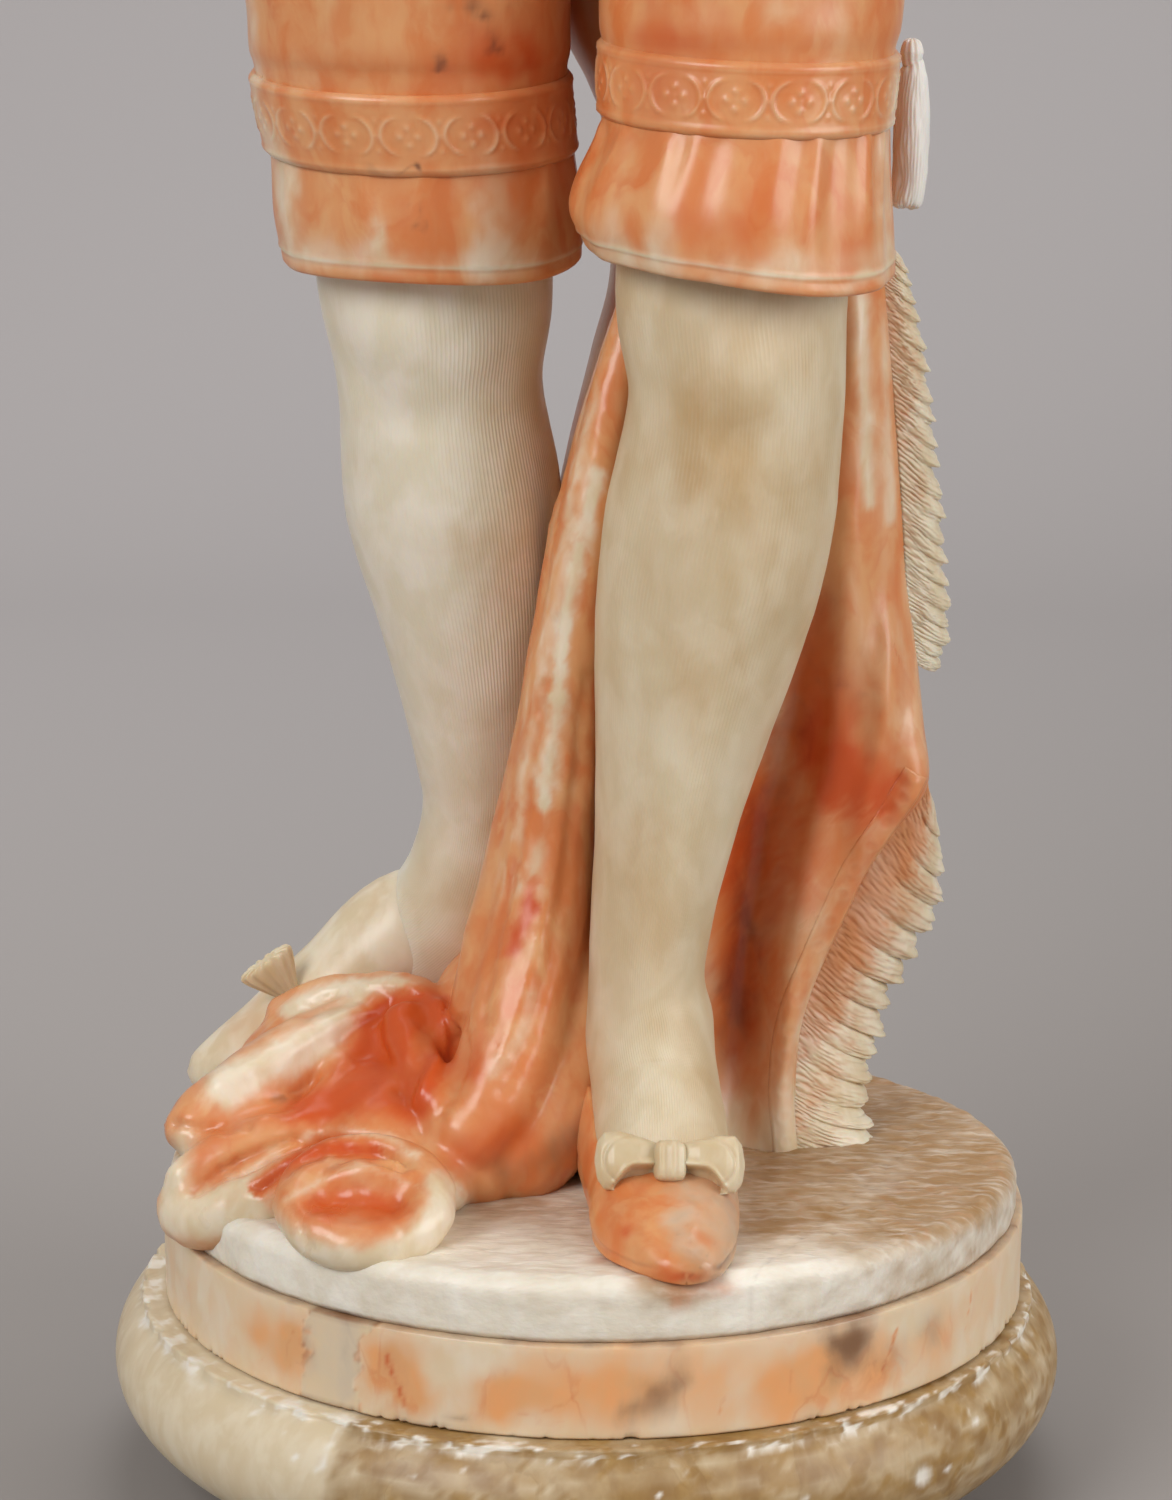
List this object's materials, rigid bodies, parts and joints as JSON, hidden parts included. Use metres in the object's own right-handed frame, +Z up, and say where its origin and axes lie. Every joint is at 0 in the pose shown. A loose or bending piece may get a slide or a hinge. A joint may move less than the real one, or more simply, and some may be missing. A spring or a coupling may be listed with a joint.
{
  "type": "alabaster figure sculpture",
  "caption": "Carved and stained alabaster figure in knee breeches and fringed cape, on a round banded plinth and a turned half-round base moulding; stands as a decorative sculpture",
  "frame": {"origin": "centre of the underside's plinth axis, on the surface that it stands on", "axes": "+Z up, -Y the way the figure faces, +X to the viewer's right"},
  "size_m": [0.3891, 0.3534, 1.2016],
  "materials": {
    "stained_alabaster": "carved alabaster, cream with orange stain, softly polished",
    "banded_alabaster": "turned alabaster, cream banded with orange and brown, polished",
    "tan_onyx": "turned tan onyx-like stone, polished, chipped white at the ledge"
  },
  "bodies": {
    "root": {"figure": "stained_alabaster", "plinth_disc": "banded_alabaster", "pedestal_moulding": "tan_onyx"}
  },
  "joints": []
}
